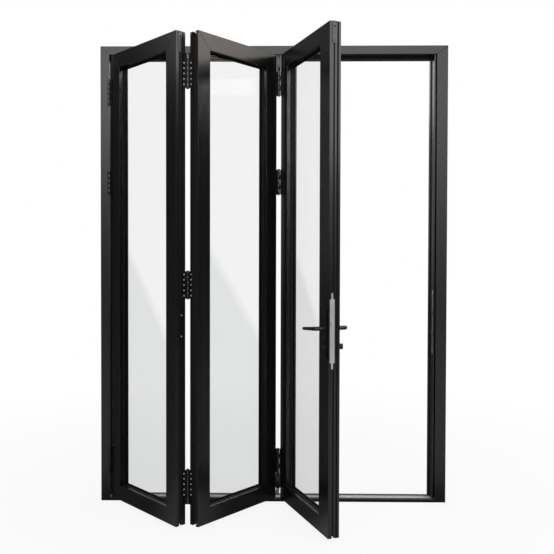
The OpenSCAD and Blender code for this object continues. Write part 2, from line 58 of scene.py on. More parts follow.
# Image and camera, fitted to corners and edges of the photograph. The picture is square, and the
# centre is where the optical axis meets it, in pixels from its middle.
IMAGE_SIDE = 554
SENSOR = 36.0
FOCAL_PX = 682.1
CENTRE_PX = (-39.7, -10.7)
CAMERA_PLACE = (-0.1375, -3.6373, 1.3086)
CAMERA_YAW = math.radians(-0.825)
CAMERA_DOWN = math.radians(1.011)
CAMERA_ROLL = math.radians(0.081)


def mm(value):
    """Millimetres as metres."""
    return value / 1000


# Measures inside the CAD nodes, which their boxes don't give, and where the screws stand
GROOVE_SKIN = mm(1.3)           # a leaf's edge grooves begin this far inside its edge
GROOVE_FLOOR = mm(16)           # and end this far inside it
GROOVE_FLANGE = mm(3)           # the flanges beside them are this thick
STOP_DEPTH = mm(13)             # how far a frame stop stands in from the frame's inner face
HINGE_SPACE = mm(150)           # hinges of one row are further apart than this
EDGE_PLATE = mm(2.5)            # thickness of the plates on a leaf's far edge
BOLT_GUIDE = mm(3)              # a bolt guide rises less than this above the edge
FLUSH_SCREWS_APART = mm(100)
FACEPLATE_SCREW_END = mm(40)    # from each end of the faceplate
CYLINDER_SCREW_DROP = mm(57.5)  # below the faceplate's middle
GUIDE_SCREW_HEIGHTS = (mm(13), mm(48))  # above a bolt guide's foot
BACKPLATE_SCREW_END = mm(13)    # from each end of the inside backplate
STRIKE_SCREW_END = mm(16)       # from each end of the strike plate
CHANNEL_FLOOR = mm(2)           # thickness of the guide channel's bottom
CHANNEL_SCREWS_APART = mm(290)
CHANNEL_SCREWS = 6
CHANNEL_SHIFT = mm(-60)         # the row's middle, from the channel's middle


# Sizes and colours that a user would change

class DoorSizes(bpy.types.PropertyGroup):
    edge_round: FloatProperty(
        name="Edge rounding", description="Radius on the edges of the extruded profiles",
        default=mm(0.9), min=0, unit="LENGTH")
    hardware_round: FloatProperty(
        name="Hardware rounding", description="Radius on the edges of hinges and plates",
        default=mm(0.4), min=0, unit="LENGTH")
    sheet: FloatProperty(
        name="Glass sheet", description="Thickness of each of the two sheets in a sealed unit",
        default=mm(4), min=mm(3), unit="LENGTH")
    spacer_cover: FloatProperty(
        name="Spacer cover", description="How far the spacer stays back from the sight line",
        default=mm(1.5), unit="LENGTH")
    gasket: FloatProperty(
        name="Gasket width", description="Visible width of the glazing gaskets",
        default=mm(3.2), min=mm(1), unit="LENGTH")
    screw_radius: FloatProperty(
        name="Screw radius", description="Radius of a hinge screw's head",
        default=mm(3.9), min=mm(2), unit="LENGTH")
    screw_height: FloatProperty(
        name="Screw height", description="Height of a hinge screw's head",
        default=mm(2.0), min=mm(0.5), unit="LENGTH")
    screw_pitch: FloatProperty(
        name="Screw pitch", description="Distance between the screws of a hinge plate",
        default=mm(25), min=mm(10), unit="LENGTH")
    screws: IntProperty(
        name="Screws", description="Screws in each hinge plate", default=5, min=2, max=9)
    seal_radius: FloatProperty(
        name="Seal radius", description="Radius of the bulb seals in the frame stops",
        default=mm(3), min=mm(1), unit="LENGTH")


class DoorColours(bpy.types.PropertyGroup):
    frame_coat: FloatVectorProperty(
        name="Frame coat", description="Powder coat of the outer frame",
        default=(0.0050, 0.0056, 0.0058), subtype="COLOR", min=0, max=1)
    leaf_coat: FloatVectorProperty(
        name="Leaf coat", description="Powder coat of the leaves",
        default=(0.0036, 0.0041, 0.0043), subtype="COLOR", min=0, max=1)
    hardware: FloatVectorProperty(
        name="Hardware", description="Lacquer on hinges and bolt plates",
        default=(0.0026, 0.0027, 0.0029), subtype="COLOR", min=0, max=1)
    handle: FloatVectorProperty(
        name="Handles", description="Levers and backplates",
        default=(0.0024, 0.0026, 0.0029), subtype="COLOR", min=0, max=1)
    steel: FloatVectorProperty(
        name="Stainless steel", description="Lock faceplate, strike plate and guide channel",
        default=(0.84, 0.83, 0.81), subtype="COLOR", min=0, max=1)
    zinc: FloatVectorProperty(
        name="Zinc plate", description="Trolley, foot guide and screws",
        default=(0.66, 0.67, 0.68), subtype="COLOR", min=0, max=1)
    rubber: FloatVectorProperty(
        name="Rubber", description="Gaskets and seals",
        default=(0.0030, 0.0030, 0.0032), subtype="COLOR", min=0, max=1)
    # The two glass colours differ by a painted reflection: the upper part lighter, the lower part
    # darker
    glass_clear: FloatVectorProperty(
        name="Glass, upper part", description="What one face of the upper glass lets through",
        default=(0.976, 0.977, 0.977), subtype="COLOR", min=0, max=1)
    glass_lower_with_painted_reflection: FloatVectorProperty(
        name="Glass, lower part", description="What one face of the lower glass lets through",
        default=(0.938, 0.940, 0.940), subtype="COLOR", min=0, max=1)
    floor: FloatVectorProperty(
        name="Floor", description="Studio floor", default=(0.86, 0.86, 0.86),
        subtype="COLOR", min=0, max=1)


def sizes():
    return bpy.context.scene.door_sizes


def colours():
    return bpy.context.scene.door_colours


# Shader maths

class Signal:
    """A number inside a material. Arithmetic on it adds Math nodes."""

    def __init__(self, finish, socket):
        self.finish = finish
        self.socket = socket

    def maths(self, operation, first, second=0.0):
        return Signal(self.finish, self.finish.node(
            "ShaderNodeMath", {"operation": operation}, {0: first, 1: second}).outputs[0])

    def __add__(self, other):
        return self.maths("ADD", self, other)

    __radd__ = __add__

    def __sub__(self, other):
        return self.maths("SUBTRACT", self, other)

    def __rsub__(self, other):
        return self.maths("SUBTRACT", other, self)

    def __mul__(self, other):
        return self.maths("MULTIPLY", self, other)

    __rmul__ = __mul__

    def __pow__(self, other):
        return self.maths("POWER", self, other)

    def size(self):
        return self.maths("ABSOLUTE", self)

    def below(self, other):
        return self.maths("LESS_THAN", self, other)

    def greater(self, other):
        return self.maths("MAXIMUM", self, other)


class Finish:
    """The node tree of one material, or of the world."""

    def __init__(self, tree):
        self.tree = tree
        self.tree.nodes.clear()

    def node(self, kind, settings=None, sockets=None):
        """Adds a node: its settings first, then a value or a link for each socket named."""
        made = self.tree.nodes.new(kind)
        for name, value in (settings or {}).items():
            if name == "stops":
                self.set_stops(made.color_ramp, value)
            else:
                setattr(made, name, value)
        for name, value in (sockets or {}).items():
            socket = made.inputs[name]
            if isinstance(value, Signal):
                value = value.socket
            if isinstance(value, bpy.types.NodeSocket):
                self.tree.links.new(value, socket)
            elif socket.type == "RGBA" and len(value) == 3:
                socket.default_value = (*value, 1)
            else:
                socket.default_value = value
        return made

    @staticmethod
    def set_stops(ramp, stops):
        for index, (position, level) in enumerate(stops):
            point = ramp.elements[index] if index < 2 else ramp.elements.new(position)
            point.position = position
            point.color = (level, level, level, 1)

    def coordinates(self):
        return self.node("ShaderNodeTexCoord").outputs["Object"]

    def noise(self, size, detail=2.0, stretch=(1, 1, 1)):
        """Noise whose grain is about size metres across, drawn out along an axis by stretch."""
        scaled = self.node("ShaderNodeMapping", {"vector_type": "TEXTURE"}, {
            "Vector": self.coordinates(), "Scale": [size * s for s in stretch]}).outputs[0]
        return Signal(self, self.node("ShaderNodeTexNoise", {}, {
            "Vector": scaled, "Scale": 1.0, "Detail": detail}).outputs["Fac"])

    def along(self, direction, start):
        """Distance from a point, measured in one direction."""
        offset = self.node("ShaderNodeVectorMath", {"operation": "SUBTRACT"}, {
            0: self.coordinates(), 1: start}).outputs["Vector"]
        return Signal(self, self.node("ShaderNodeVectorMath", {"operation": "DOT_PRODUCT"}, {
            0: offset, 1: direction}).outputs["Value"])

    def ramp(self, signal, *stops):
        """A number led through a ramp: each stop is a value of the number and its level."""
        return Signal(self, self.node(
            "ShaderNodeValToRGB", {"stops": stops}, {"Fac": signal}).outputs["Color"])

    def blend(self, share, first, second):
        """Two colours mixed by a number."""
        factor, colour_a, colour_b, colour_result = 0, 6, 7, 2
        made = self.node("ShaderNodeMix", {"data_type": "RGBA"}, {
            factor: share, colour_a: first, colour_b: second})
        return made.outputs[colour_result]

    def bump(self, height, strength, distance):
        return self.node("ShaderNodeBump", {}, {
            "Strength": strength, "Distance": distance, "Height": height}).outputs["Normal"]

    def surface(self, shader):
        self.node("ShaderNodeOutputMaterial", {}, {"Surface": shader})


def new_finish(name):
    material = bpy.data.materials.new(name)
    material.use_nodes = True
    return material, Finish(material.node_tree)


def lighter(colour, factor):
    return tuple(min(1.0, c * factor) for c in colour)


def powder_coat(name, colour, roughness, leaf=None):
    """Satin powder coat: a fine orange peel, faint streaks along the profile and a little dust.

    A leaf's edge grooves are matt, and their colour is darkened there as painted shade.
    """
    material, finish = new_finish(name)
    peel = finish.noise(mm(1.3), 3.0)
    streak = finish.noise(mm(9), 3.0, (1, 1, 200))
    cloud = finish.noise(mm(240), 3.0)
    dust = finish.ramp(finish.noise(mm(9), 6.0), (0.58, 0.0), (0.8, 1.0))
    tone = finish.blend(cloud, lighter(colour, 0.75), lighter(colour, 1.25))
    tone = finish.blend(dust * 0.3, tone, lighter(colour, 1.8))
    groove_matt_and_painted_shade = 0
    if leaf:
        groove_matt_and_painted_shade = edge_grooves(finish, leaf)
        # Painted shade: in a leaf's edge grooves the base colour is darkened to a quarter; the
        # grooves are also made rougher
        tone = finish.blend(groove_matt_and_painted_shade, tone, lighter(colour, 0.25))
    finish.surface(finish.node("ShaderNodeBsdfPrincipled", {}, {
        "Base Color": tone,
        "Roughness": 0.45 * groove_matt_and_painted_shade + roughness + 0.05 * cloud + 0.03 * streak + 0.04 * dust,
        "Specular IOR Level": 0.5,
        "Normal": finish.bump(peel, 0.08, mm(0.2))}).outputs[0])
    return material


def edge_grooves(finish, leaf):
    """One inside the grooves of a leaf's two long edges, nought elsewhere."""
    across = finish.along(leaf.u, leaf.point(leaf.width / 2, 0, 0)).size() - leaf.width / 2
    through = finish.along(leaf.v, leaf.point(0, leaf.depth / 2, 0)).size() - leaf.depth / 2
    sunk = across.below(-GROOVE_SKIN) * (1 - across.below(-GROOVE_FLOOR))
    return sunk * through.below(-GROOVE_FLANGE)


def lacquer(name, colour, roughness, gloss=0.5):
    """Smooth lacquer on cast and pressed metal, with light rubbing marks."""
    material, finish = new_finish(name)
    rub = finish.noise(mm(5), 4.0, (1, 1, 7))
    grain = finish.noise(mm(0.6), 2.0)
    finish.surface(finish.node("ShaderNodeBsdfPrincipled", {}, {
        "Base Color": finish.blend(rub, lighter(colour, 0.8), lighter(colour, 1.4)),
        "Roughness": roughness + 0.10 * rub,
        "Specular IOR Level": gloss,
        "Normal": finish.bump(grain, 0.06, mm(0.1))}).outputs[0])
    return material


def brushed_steel(name, colour, roughness, run):
    """Brushed metal with a fine grain along the axis that run names."""
    material, finish = new_finish(name)
    stretch = [60 if axis == run else 1 for axis in "xyz"]
    grain = finish.noise(mm(0.5), 3.0, stretch)
    stain = finish.noise(mm(30), 3.0)
    finish.surface(finish.node("ShaderNodeBsdfPrincipled", {}, {
        "Base Color": finish.blend(0.5 * grain + 0.5 * stain, lighter(colour, 0.82), colour),
        "Metallic": 1.0,
        "Roughness": roughness + 0.14 * grain,
        "Normal": finish.bump(grain, 0.12, mm(0.08))}).outputs[0])
    return material


def black_rubber(name, colour):
    material, finish = new_finish(name)
    bloom = finish.noise(mm(14), 4.0)
    grain = finish.noise(mm(0.5), 2.0)
    finish.surface(finish.node("ShaderNodeBsdfPrincipled", {}, {
        "Base Color": finish.blend(bloom, colour, lighter(colour, 1.8)),
        "Roughness": 0.6 + 0.2 * bloom,
        "Specular IOR Level": 0.3,
        "Normal": finish.bump(grain, 0.2, mm(0.1))}).outputs[0])
    return material


def clear_glass(name, leaf):
    """Thin clear glass with a painted reflection: a soft slanted edge parts a lighter upper from a
    darker lower half.

    It mirrors more the flatter it is looked at.
    """
    material, finish = new_finish(name)
    slant = math.radians(52)
    middle = leaf.point(leaf.width / 2, 0, leaf.height * 0.47)
    slanted = leaf.u * math.sin(slant) + Vector((0, 0, 1)) * math.cos(slant)
    height = finish.along(slanted, middle)
    # Painted reflection: this mask parts the lighter upper glass from the darker lower glass along
    # a soft slanted edge
    share = finish.ramp(height * 2.2 + 0.5, (0.42, 0.0), (0.56, 1.0))
    smear = finish.ramp(finish.noise(mm(160), 3.0), (0.5, 0.0), (0.8, 1.0))
    upper = finish.node("ShaderNodeBsdfTransparent", {}, {"Color": tuple(colours().glass_clear)})
    lower = finish.node("ShaderNodeBsdfTransparent", {}, {"Color": tuple(colours().glass_lower_with_painted_reflection)})
    body = finish.node("ShaderNodeMixShader", {}, {
        0: share, 1: lower.outputs[0], 2: upper.outputs[0]})
    gloss = finish.node("ShaderNodeBsdfGlossy", {}, {"Color": (1, 1, 1), "Roughness": 0.03})
    facing = finish.node("ShaderNodeLayerWeight", {}, {"Blend": 0.5}).outputs["Facing"]
    mirrored = Signal(finish, facing) ** 5 * 0.3 + smear * 0.002 + 0.005
    finish.surface(finish.node("ShaderNodeMixShader", {}, {
        0: mirrored, 1: body.outputs[0], 2: gloss.outputs[0]}).outputs[0])
    return material


# Where the leaves stand, read from the frame

def vertices(*names):
    """All points of some CAD nodes."""
    points = [v.co for name in names for v in NODES[name].data.vertices]
    return np.array(points, float).reshape(-1, 3)


class Leaf:
    """Place of a leaf: u runs along it from its hinge side, v from its outside face, z up.

    In these directions, pane holds two opposite corners of the glass unit, sight those of the
    glass that shows outside, and bead those of the glass that shows inside.
    """

    def __init__(self, number):
        pane = vertices(f"leaf{number}_glass")
        flat = pane[:, :2] - pane[:, :2].mean(0)
        _, axes = np.linalg.eigh(flat.T @ flat)
        run = axes[:, -1] * np.sign(axes[0, -1])
        self.u = Vector((run[0], run[1], 0))
        self.v = Vector((-run[1], run[0], 0))
        names = [n for n in NODES if n.startswith(f"leaf{number}_")]
        self.origin = Vector((0, 0, 0))
        low, high = self.box(*names)
        self.origin = self.u * low[0] + self.v * low[1] + Vector((0, 0, low[2]))
        self.width, self.depth, self.height = high - low
        self.pane = self.box(f"leaf{number}_glass")
        stile = next(n for n in names if n.endswith("_stile") and self.box(n)[0][0] < mm(1))
        bite = self.box(stile)[1][0] - self.pane[0][0]
        step = self.bead_edge(f"leaf{number}_beads") - self.pane[0][0] - bite
        inward = Vector((bite, 0, bite))
        self.sight = (Vector(self.pane[0]) + inward, Vector(self.pane[1]) - inward)
        inward = Vector((step, 0, step))
        self.bead = (self.sight[0] + inward, self.sight[1] - inward)

    def local(self, *names):
        """The points of CAD nodes in the leaf's own directions."""
        axes = np.array([self.u, self.v, (0, 0, 1)])
        return (vertices(*names) - np.array(self.origin)) @ axes.T

    def box(self, *names):
        """Lowest and highest corner of CAD nodes in the leaf's own directions."""
        points = self.local(*names)
        return points.min(0), points.max(0)

    def bead_edge(self, name):
        """Distance of the beads' inner edge from the leaf's edge."""
        points = self.local(name)
        return points[points[:, 0] < self.width / 4][:, 0].max()

    def point(self, u, v, z):
        return self.origin + self.u * u + self.v * v + Vector((0, 0, z))

    def matrix(self):
        turned = Matrix((self.u, self.v, (0, 0, 1))).transposed().to_4x4()
        return Matrix.Translation(self.origin) @ turned


# Modelling helpers

def select_only(*objects):
    bpy.ops.object.select_all(action="DESELECT")
    for o in objects:
        o.select_set(True)
    bpy.context.view_layer.objects.active = objects[0]


def start_primitive(add, name, **settings):
    """A new primitive as the only selected object."""
    bpy.ops.object.select_all(action="DESELECT")
    add(**settings)
    made = bpy.context.object
    made.name = made.data.name = name
    return made


def start_box(name, centre, size):
    """A box as the only selected object."""
    box = start_primitive(bpy.ops.mesh.primitive_cube_add, name, size=1, location=centre)
    box.scale = size
    bpy.ops.object.transform_apply()
    return box


def pick_faces(piece, wanted):
    """In edit mode, selects only the faces whose middle and normal pass a test."""
    bpy.ops.object.mode_set(mode="OBJECT")
    for part in (*piece.data.vertices, *piece.data.edges):
        part.select = False
    for face in piece.data.polygons:
        face.select = wanted(face.center, face.normal)
    bpy.ops.object.mode_set(mode="EDIT")
    bpy.ops.mesh.select_mode(type="FACE")


def settle(piece, matrix=None):
    """Leaves the piece's place in its mesh, with its object at the origin."""
    if bpy.context.object and bpy.context.object.mode == "EDIT":
        bpy.ops.object.mode_set(mode="OBJECT")
    bpy.context.view_layer.update()
    piece.data.transform((matrix or Matrix.Identity(4)) @ piece.matrix_world)
    piece.matrix_world = Matrix.Identity(4)
    return piece


def add_bevel(piece, width, segments, angle):
    """A modifier that rounds the edges whose faces meet at more than an angle."""
    bevel = piece.modifiers.new("Round", "BEVEL")
    bevel.width, bevel.segments = width, segments
    bevel.limit_method, bevel.angle_limit = "ANGLE", math.radians(angle)
    return bevel


def round_edges(piece, width, segments):
    """Bevels the sharp edges of a piece and applies the modifier."""
    select_only(piece)
    bevel = add_bevel(piece, width, segments, 30)
    bpy.ops.object.modifier_apply(modifier=bevel.name)


def tidy_normals(piece):
    select_only(piece)
    bpy.ops.object.mode_set(mode="EDIT")
    bpy.ops.mesh.select_all(action="SELECT")
    bpy.ops.mesh.remove_doubles(threshold=1e-6)
    bpy.ops.mesh.normals_make_consistent(inside=False)
    bpy.ops.object.mode_set(mode="OBJECT")


def dress(piece, material):
    """Gives the piece its material and slot and lets it ride on the door."""
    piece.data.materials.clear()
    piece.data.materials.append(material)
    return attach(piece, BODY)


def joined(name, parts):
    select_only(*parts)
    if len(parts) > 1:
        bpy.ops.object.join()
    whole = bpy.context.object
    whole.name = whole.data.name = name
    return whole


def copies(master, name, matrices):
    """Copies of one master, each with its own mesh, joined into one piece."""
    parts = []
    for index, matrix in enumerate(matrices):
        part = master.copy()
        part.data = master.data.copy()
        part.name = f"{name}_{index}"
        part.data.transform(matrix)
        bpy.context.collection.objects.link(part)
        parts.append(part)
    return joined(name, parts)


def ring(name, low, high, border, depth, rounding):
    """A rectangular ring in the x-z plane: low and high are opposite corners of its outer edge.

    It is border wide and reaches depth from the low corner's y.
    """
    width, height = high[0] - low[0], high[2] - low[2]
    centre = ((low[0] + high[0]) / 2, low[1], (low[2] + high[2]) / 2)
    piece = start_primitive(bpy.ops.mesh.primitive_plane_add, name, size=1, location=centre,
                            rotation=(math.pi / 2, 0, 0))
    piece.scale = (width, height, 1)
    bpy.ops.object.transform_apply()
    bpy.ops.object.mode_set(mode="EDIT")
    bpy.ops.mesh.select_all(action="SELECT")
    bpy.ops.mesh.inset(thickness=border)
    bpy.ops.mesh.delete(type="FACE")
    bpy.ops.mesh.select_all(action="SELECT")
    bpy.ops.mesh.extrude_region_move(TRANSFORM_OT_translate={"value": (0, depth, 0)})
    bpy.ops.object.mode_set(mode="OBJECT")
    tidy_normals(piece)
    if rounding:
        round_edges(piece, rounding, 3)
    return piece


def refinish(names, material, rounding=0.0):
    """Puts a material on CAD nodes. Live modifiers weld their triangles and round their edges."""
    for name in names:
        node = NODES[name]
        for slot in node.material_slots:
            slot.material = material
        if rounding:
            weld = node.modifiers.new("Weld", "WELD")
            weld.merge_threshold = mm(0.01)
            add_bevel(node, rounding, 2, 35)


# The pieces

class DOOR_OT_profiles(bpy.types.Operator):
    """Powder coat and rounded edges on the outer frame and the leaf profiles"""
    bl_idname = "door.profiles"
    bl_label = "Coat the profiles"

    def execute(self, context):
        rounding = sizes().edge_round
        coat = powder_coat("frame_powder_coat", colours().frame_coat, 0.28)
        refinish(("left_jamb", "right_jamb", "head", "sill", "lock_strip"), coat, rounding)
        for number in LEAVES:
            prefix = f"leaf{number}_"
            coat = powder_coat(f"{prefix}powder_coat", colours().leaf_coat, 0.18, Leaf(number))
            names = [n for n in NODES if n.startswith(prefix) and not n.endswith("glass")]
            refinish(names, coat, rounding)
        return {"FINISHED"}


class DOOR_OT_hardware(bpy.types.Operator):
    """Lacquer and steel on hinges, carrier, bolts, lock and handles"""
    bl_idname = "door.hardware"
    bl_label = "Finish the hardware"

    def execute(self, context):
        rounding = sizes().hardware_round
        black = lacquer("hinge_lacquer", colours().hardware, 0.20, 0.6)
        hinges = [n for n in NODES if "hinges" in n]
        refinish([*hinges, "flush_bolt_plate", "edge_bolt_guides"], black, rounding)
        bright = lacquer("pin_lacquer", colours().hardware, 0.12, 1.0)
        refinish(("hinge_pins", "carrier_bracket", "foot_bracket"), bright, rounding)
        handle = lacquer("handle_lacquer", colours().handle, 0.28)
        refinish(("outside_backplate", "inside_backplate", "lock_cylinder"), handle, rounding)
        refinish(("outside_lever", "inside_lever"), handle)
        upright = brushed_steel("upright_steel", colours().steel, 0.24, "z")
        refinish(("lock_faceplate", "strike_plate", "lock_bolts"), upright, rounding)
        level = brushed_steel("level_steel", colours().steel, 0.26, "x")
        refinish(("guide_rail",), level, rounding)
        zinc = brushed_steel("zinc_plate", colours().zinc, 0.30, "x")
        refinish(("top_trolley", "foot_guide"), zinc, rounding)
        return {"FINISHED"}


class DOOR_OT_glazing(bpy.types.Operator):
    """Sealed glass units of two sheets with a black spacer between them"""
    bl_idname = "door.glazing"
    bl_label = "Glaze the leaves"

    def execute(self, context):
        sealant = black_rubber("edge_sealant", colours().rubber)
        for number in LEAVES:
            leaf = Leaf(number)
            low, high = leaf.pane
            sheet = sizes().sheet
            unit = joined(f"leaf{number}_glass_sheets", [
                self.sheet(leaf, f"leaf{number}_{side}_sheet", start)
                for side, start in (("outer", low[1]), ("inner", high[1] - sheet))])
            dress(unit, clear_glass(f"leaf{number}_clear_glass", leaf))
            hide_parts(f"leaf{number}_glass")
            border = leaf.sight[0].x - low[0] - sizes().spacer_cover
            spacer = ring(f"leaf{number}_spacer", (low[0], low[1] + sheet, low[2]),
                          (high[0], 0, high[2]), border, high[1] - low[1] - 2 * sheet, 0)
            settle(spacer, leaf.matrix())
            dress(spacer, sealant)
        return {"FINISHED"}

    @staticmethod
    def sheet(leaf, name, start):
        """One sheet with ground edges; start is its outside face."""
        low, high = leaf.pane
        thickness = sizes().sheet
        piece = start_box(
            name, ((low[0] + high[0]) / 2, start + thickness / 2, (low[2] + high[2]) / 2),
            (high[0] - low[0], thickness, high[2] - low[2]))
        round_edges(piece, mm(0.5), 1)
        return settle(piece, leaf.matrix())


class DOOR_OT_gaskets(bpy.types.Operator):
    """Rubber gaskets between glass, lip and beads"""
    bl_idname = "door.gaskets"
    bl_label = "Fit the glazing gaskets"

    def execute(self, context):
        rubber = black_rubber("gasket_rubber", colours().rubber)
        width = sizes().gasket
        for number in LEAVES:
            leaf = Leaf(number)
            low, high = leaf.pane
            tuck = Vector((mm(0.3), 0, mm(0.3)))
            seats = (("outer", leaf.sight, low[1] - width), ("inner", leaf.bead, high[1]))
            for side, (corner, far_corner), start in seats:
                corner = corner - tuck
                gasket = ring(f"leaf{number}_{side}_gasket", (corner.x, start, corner.z),
                              far_corner + tuck, width, width, width * 0.35)
                settle(gasket, leaf.matrix())
                dress(gasket, rubber)
        return {"FINISHED"}


class DOOR_OT_seals(bpy.types.Operator):
    """Bulb seals pressed into the rear stops of the hinge side jamb and the head"""
    bl_idname = "door.seals"
    bl_label = "Press in the frame seals"

    def execute(self, context):
        rubber = black_rubber("seal_rubber", colours().rubber)
        x = self.groove("left_jamb", 0, 1)[0]
        z, front, depth = self.groove("head", 2, -1)
        # The mitre runs from the frame's outer corner through the point where the grooves meet
        corner = Vector((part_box("left_jamb")[0][0], front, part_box("head")[1][2]))
        meeting = Vector((x, front, z))
        run = meeting - corner
        across = Vector((-run.z, 0, run.x))
        past = run.length / 2
        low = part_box("sill")[1][2]
        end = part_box("lock_strip")[0][0] - mm(0.3)
        upright = self.strip("jamb_seal", (x, front, low), (x, front, z + past), depth)
        self.mitre(upright, meeting, across, "outer")
        level = self.strip("head_seal", (x - past, front, z), (end, front, z), depth)
        self.mitre(level, meeting, across, "inner")
        for seal in (upright, level):
            dress(seal, rubber)
        return {"FINISHED"}

    @staticmethod
    def groove(name, axis, side):
        """Middle of the seal groove in a frame stop, the stop's front and the groove's depth.

        The axis runs across the stop, which stands at the profile's far side in that direction.
        """
        points = vertices(name)
        across = points[:, axis] * side
        stop = points[across > across.max() - STOP_DEPTH]
        levels = np.unique(np.round(stop[:, 1], 4))
        edges = stop[np.abs(stop[:, 1] - levels[1]) < mm(0.2)][:, axis]
        return (edges.min() + edges.max()) / 2, levels[0], levels[1] - levels[0]

    @staticmethod
    def strip(name, start, end, depth):
        """A round bulb in front of the stop with a flat foot that reaches into the groove."""
        radius = sizes().seal_radius
        start, end = Vector(start), Vector(end)
        level = abs(end.x - start.x) > abs(end.z - start.z)
        middle = (start + end) / 2 - Vector((0, radius * 0.8, 0))
        seal = start_primitive(
            bpy.ops.mesh.primitive_cylinder_add, name, vertices=16, radius=radius,
            depth=(end - start).length, location=middle,
            rotation=(0, math.pi / 2 if level else 0, 0))
        bpy.ops.object.transform_apply()
        pick_faces(seal, lambda centre, normal: normal.y > 0.9)
        bpy.ops.mesh.extrude_region_move(
            TRANSFORM_OT_translate={"value": (0, depth * 0.9 - radius * 0.1, 0)})
        bpy.ops.object.mode_set(mode="OBJECT")
        tidy_normals(seal)
        bpy.ops.object.shade_smooth_by_angle(angle=math.radians(40))
        return settle(seal)

    @staticmethod
    def mitre(seal, place, across, cleared):
        """Cuts a seal off at the mitre: across is square to the cut, cleared the side that goes."""
        select_only(seal)
        bpy.ops.object.mode_set(mode="EDIT")
        bpy.ops.mesh.select_all(action="SELECT")
        bpy.ops.mesh.bisect(plane_co=place, plane_no=across, use_fill=True,
                            clear_outer=cleared == "outer", clear_inner=cleared == "inner")
        bpy.ops.object.mode_set(mode="OBJECT")


class DOOR_OT_key_plug(bpy.types.Operator):
    """Key plug with its keyway in the outside barrel of the lock cylinder"""
    bl_idname = "door.key_plug"
    bl_label = "Fit the key plug"

    def execute(self, context):
        leaf = Leaf(3)
        cylinder = leaf.local("lock_cylinder")
        barrel = cylinder[cylinder[:, 1] < 0]
        low, high = barrel.min(0), barrel.max(0)
        middle, radius = (low + high) / 2, (high[0] - low[0]) / 2
        plug = start_primitive(bpy.ops.mesh.primitive_cylinder_add, "key_plug", vertices=40,
                               radius=radius * 0.68, depth=mm(0.8))
        pick_faces(plug, lambda centre, normal: normal.z > 0.9)
        bpy.ops.mesh.inset(thickness=mm(0.5))
        bpy.ops.transform.translate(value=(0, 0, mm(0.25)))
        bpy.ops.object.mode_set(mode="OBJECT")
        slot = start_box("keyway", (0, mm(-0.4), mm(0.7)), (mm(1.5), mm(7.4), mm(1.4)))
        select_only(plug)
        notch = plug.modifiers.new("Keyway", "BOOLEAN")
        notch.object, notch.operation, notch.solver = slot, "DIFFERENCE", "EXACT"
        bpy.ops.object.modifier_apply(modifier=notch.name)
        bpy.data.objects.remove(slot)
        round_edges(plug, mm(0.15), 2)
        facing = Matrix.Rotation(math.pi / 2, 4, "X")
        settle(plug, leaf.matrix() @ Matrix.Translation((middle[0], low[1], middle[2])) @ facing)
        dress(plug, brushed_steel("plug_nickel", lighter(colours().zinc, 0.35), 0.3, "x"))
        return {"FINISHED"}


